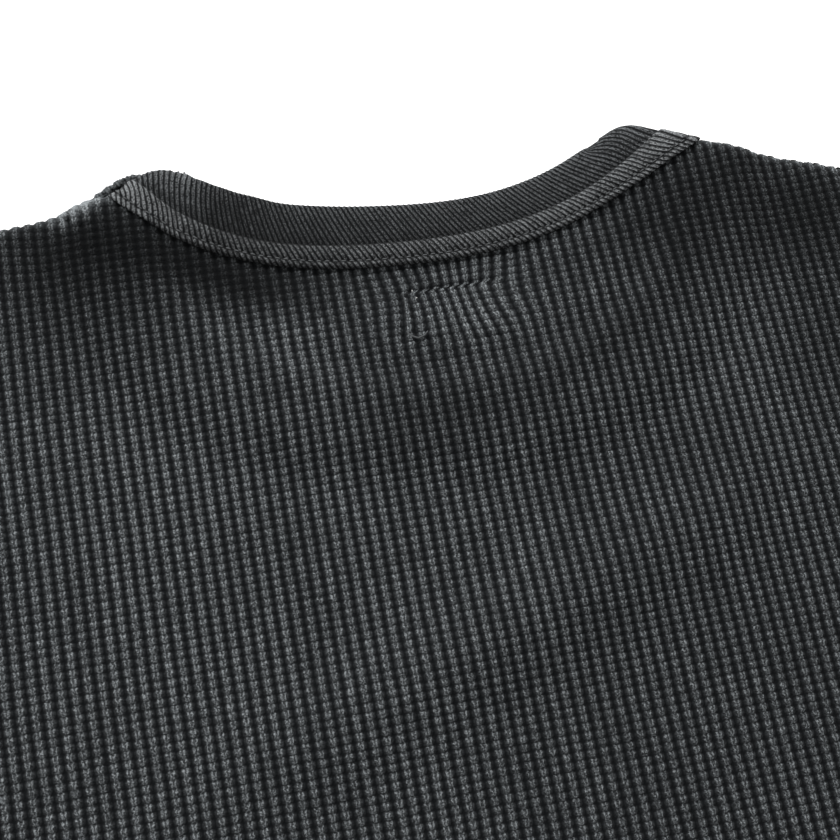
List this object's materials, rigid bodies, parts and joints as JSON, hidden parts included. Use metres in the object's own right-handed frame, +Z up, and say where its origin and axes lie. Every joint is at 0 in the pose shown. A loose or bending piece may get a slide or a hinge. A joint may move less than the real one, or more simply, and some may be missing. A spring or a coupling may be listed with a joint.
{
  "type": "long-sleeved thermal top",
  "caption": "Long-sleeved waffle-knit thermal top with a rib collar, raised neck binding and rib cuffs, laid flat with its back up.",
  "frame": {"origin": "bottom centre of the garment's box, on the surface that it lies on", "axes": "+Y from the hem towards the neck, +X towards the wearer's right, +Z up from the surface, out of the back"},
  "size_m": [1.2472, 0.7092, 0.01],
  "materials": {
    "waffle_knit": "washed charcoal waffle knit, matt, brushed by wear",
    "rib_knit": "charcoal one-by-one rib, matt, slightly fuzzy at its folded edges",
    "binding_rib": "charcoal rib strip, matt, topstitched"
  },
  "bodies": {
    "root": {"back": "waffle_knit", "front": "waffle_knit", "sleeve_right": "waffle_knit", "sleeve_left": "waffle_knit", "cuff_right": "rib_knit", "cuff_left": "rib_knit", "collar": "rib_knit", "neck_binding": "binding_rib"}
  },
  "joints": []
}
